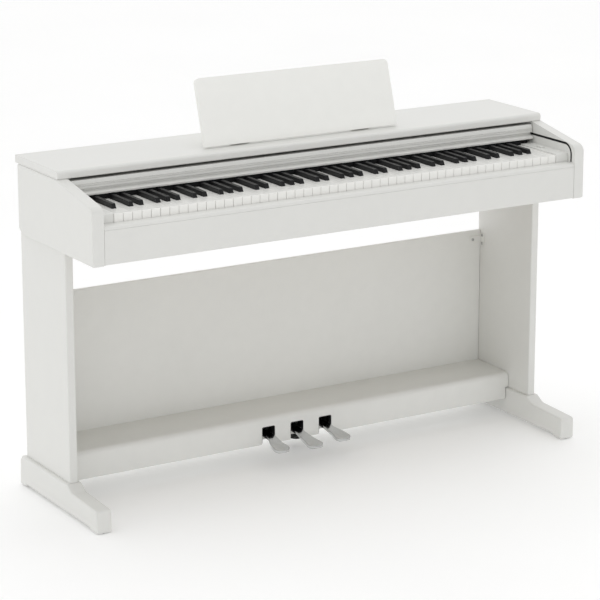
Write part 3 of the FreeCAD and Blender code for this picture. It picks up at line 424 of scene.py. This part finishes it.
def screw_head(bm, low, high):
    """A pan head with a cross recess, its face turned to the player or to the piano's middle."""
    size = high - low
    middle = (low + high) / 2
    thin = min(range(3), key=lambda axis: size[axis])
    outward = -1 if thin == 1 or middle.x > 0 else 1
    radius = max(size) / 2
    tall = size[thin]
    seat = (low if outward > 0 else high)[thin]
    first, second = [axis for axis in range(3) if axis != thin]
    rings = []
    for share in SCREW_RINGS:
        seated = len(rings) == len(SCREW_RINGS) - 1
        ring = []
        for step in range(SCREW_STEPS):
            angle = 2 * math.pi * step / SCREW_STEPS
            u = share * math.cos(angle)
            v = share * math.sin(angle)
            height = 1 - DOME_FALL * share ** 3
            narrow = min(abs(u), abs(v)) < RECESS_HALF_WIDTH
            if narrow and max(abs(u), abs(v)) < RECESS_REACH:
                height -= RECESS_DEPTH
            if seated:
                height = 0
            co = Vector((0, 0, 0))
            co[first] = middle[first] + u * radius
            co[second] = middle[second] + v * radius
            co[thin] = seat + outward * tall * height
            ring.append(bm.verts.new(co))
        rings.append(ring)
    for near, far in zip(rings, rings[1:]):
        for step in range(SCREW_STEPS):
            after = (step + 1) % SCREW_STEPS
            bm.faces.new([near[step], near[after], far[after], far[step]])
    bm.faces.new(rings[-1])
    bmesh.ops.remove_doubles(bm, verts=bm.verts[:], dist=1e-6)


def bracket_screws():
    bm = bmesh.new()
    for low, high in separate_parts("bracket_screws", 0.009):
        screw_head(bm, low, high)
    piece("cross_head_screws", bm, MATERIALS["steel"], "frame", "bracket_screws")


SPEAKER_RADIUS = 62
CAP = [(0, 15), (4, 15.3), (8, 16.4), (11.5, 18.4), (14, 21)]
CONE = [(14, 21), (20, 17.2), (28, 11.6), (36, 6), (39.5, 4)]
SURROUND = [(39.5, 4), (40.4, 2.4), (42.4, 1), (45.4, 0.4), (48.4, 1), (50.4, 2.4), (51.4, 4)]
BASKET = [(51.4, 4), (52.2, 3.4), (52.2, 0.4), (53, 0), (SPEAKER_RADIUS, 0),
          (SPEAKER_RADIUS, 3), (56, 4), (38, 24), (36, 25), (33, 25), (33, 27), (34, 27.6),
          (34, 38.4), (33.4, 39), (0, 39)]


def speakers():
    """Both speakers, as three objects: the cones with their caps, the surrounds, the baskets."""
    low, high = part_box("speakers")
    across = (low.y + high.y) / 2
    reach = high.x - SPEAKER_RADIUS * MM
    for name, outline, material in (
            ("speaker_cone", CAP + CONE[1:], paper_cone("grey_paper_cone", (0.045, 0.045, 0.047))),
            ("speaker_surround", SURROUND, MATERIALS["soft_rubber"]),
            ("speaker_basket", BASKET, MATERIALS["speaker_black"])):
        bm = bmesh.new()
        for side in (-1, 1):
            turned(bm, Vector((side * reach, across, low.z)), outline, 96)
        piece(name, bm, material, "frame", "speakers")


THREAD_PITCH = 1.5
THREAD_DEPTH = 0.75
RINGS_PER_TURN = 4
STEM_START = 18.3
STEM_CHAMFER = 1.2
KNURLS = 60
KNURL_DEPTH = 0.22


def threaded(radius, height, angle):
    """A screw thread: the radius falls and rises once a turn as the height climbs one pitch."""
    if radius < 4.9:
        return radius
    phase = (height / THREAD_PITCH - angle / (2 * math.pi)) % 1
    return radius - THREAD_DEPTH * abs(2 * phase - 1)


def knurled(radius, height, angle):
    """Fine upright ridges round the wheel's rim."""
    if radius < 14.4:
        return radius
    return radius - KNURL_DEPTH * (1 + math.cos(KNURLS * angle))


def adjuster_screw():
    """The stay's screw: a ball end in the pad, a knurled wheel and a threaded stem."""
    low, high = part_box("adjuster_screw")
    centre = Vector(((low.x + high.x) / 2, (low.y + high.y) / 2, low.z))
    top = (high.z - low.z) / MM
    bm = bmesh.new()
    ball = [(0, 0), (3, 0.3), (5, 1.6), (6, 4), (5.2, 6.4), (4, 8), (4, 11.2)]
    turned(bm, centre, ball, 40)
    wheel = [(4, 11.3), (12.5, 11.3), (14.4, 11.9), (15, 12.6), (15, 17), (14.4, 17.7),
             (12.5, 18.3), (4, 18.3)]
    turned(bm, centre, wheel, 240, knurled)
    rise = THREAD_PITCH / RINGS_PER_TURN
    levels = int((top - STEM_START - STEM_CHAMFER) / rise)
    stem = [(5, STEM_START + step * rise) for step in range(levels)]
    turned(bm, centre, stem + [(4.2, top), (0, top)], 36, threaded)
    piece("threaded_stay", bm, MATERIALS["steel"], "adjuster_screw", "adjuster_screw")


bracket_screws()
speakers()
adjuster_screw()


# ---------------------------------------------------------------- studio

def studio():
    mesh = bpy.data.meshes.new("studio_floor")
    bm = bmesh.new()
    bmesh.ops.create_circle(bm, cap_ends=True, radius=14, segments=96)
    bm.to_mesh(mesh)
    bm.free()
    floor = bpy.data.objects.new("studio_floor", mesh)
    bpy.context.scene.collection.objects.link(floor)
    sh = Shader("pale_floor")
    tone = sh.mix(sh.remap(sh.noise(1.3, 3), 0.35, 0.65), (0.955, 0.955, 0.952),
                  (0.97, 0.97, 0.967))
    sh.set(Base_Color=tone, Roughness=0.6, Specular_IOR_Level=0.2,
           Emission_Color=(1.0, 1.0, 1.0), Emission_Strength=0.11)
    mesh.materials.append(sh.mat)


def area_light(name, place, target, size, power, color=(1, 1, 1)):
    data = bpy.data.lights.new(name, "AREA")
    data.shape = "RECTANGLE"
    data.size, data.size_y = size
    data.energy = power
    data.color = color
    obj = bpy.data.objects.new(name, data)
    obj.location = place
    aim = Vector(target) - Vector(place)
    obj.rotation_euler = aim.to_track_quat("-Z", "Y").to_euler()
    bpy.context.scene.collection.objects.link(obj)


WORLD_FULL = 1.02
WORLD_DIM = 0.58


def world_light():
    """A white surround, dimmer high up in front of the piano."""
    world = bpy.data.worlds.new("studio_world")
    bpy.context.scene.world = world
    world.use_nodes = True
    back = world.node_tree.nodes["Background"]
    back.inputs["Color"].default_value = (1, 1, 1, 1)
    tree = world.node_tree
    split = tree.nodes.new("ShaderNodeSeparateXYZ")
    tree.links.new(tree.nodes.new("ShaderNodeTexCoord").outputs["Generated"], split.inputs[0])
    shares = []
    for letter, start, end in (("Y", 0.0, -0.6), ("Z", 0.15, 0.5)):
        share = tree.nodes.new("ShaderNodeMapRange")
        share.interpolation_type = "SMOOTHSTEP"
        share.inputs["From Min"].default_value = start
        share.inputs["From Max"].default_value = end
        tree.links.new(split.outputs[letter], share.inputs["Value"])
        shares.append(share.outputs[0])
    both = tree.nodes.new("ShaderNodeMath")
    both.operation = "MULTIPLY"
    tree.links.new(shares[0], both.inputs[0])
    tree.links.new(shares[1], both.inputs[1])
    level = tree.nodes.new("ShaderNodeMapRange")
    level.inputs["To Min"].default_value = WORLD_FULL
    level.inputs["To Max"].default_value = WORLD_DIM
    tree.links.new(both.outputs[0], level.inputs["Value"])
    tree.links.new(level.outputs[0], back.inputs["Strength"])


def lights():
    world_light()
    middle = (0, 0, 0.5)
    area_light("key_light", (-2.6, -3.6, 3.4), middle, (2.2, 1.6), 5)
    area_light("top_light", (0.2, -0.6, 3.6), middle, (3.2, 1.4), 8)


CAMERA_PLACE = (-3.0181, -4.9489, 1.9926)
CAMERA_TURN = -31.24
CAMERA_PITCH = 14.08
CAMERA_LENS = 147.8
CAMERA_SHIFT = -0.0833


def camera():
    data = bpy.data.cameras.new("view")
    data.lens = CAMERA_LENS
    data.sensor_width = 36
    data.shift_y = CAMERA_SHIFT
    obj = bpy.data.objects.new("view", data)
    obj.location = CAMERA_PLACE
    obj.rotation_euler = (math.radians(90 - CAMERA_PITCH), 0, math.radians(CAMERA_TURN))
    bpy.context.scene.collection.objects.link(obj)
    bpy.context.scene.camera = obj


studio()
lights()
camera()
bpy.context.scene.view_settings.view_transform = "Standard"
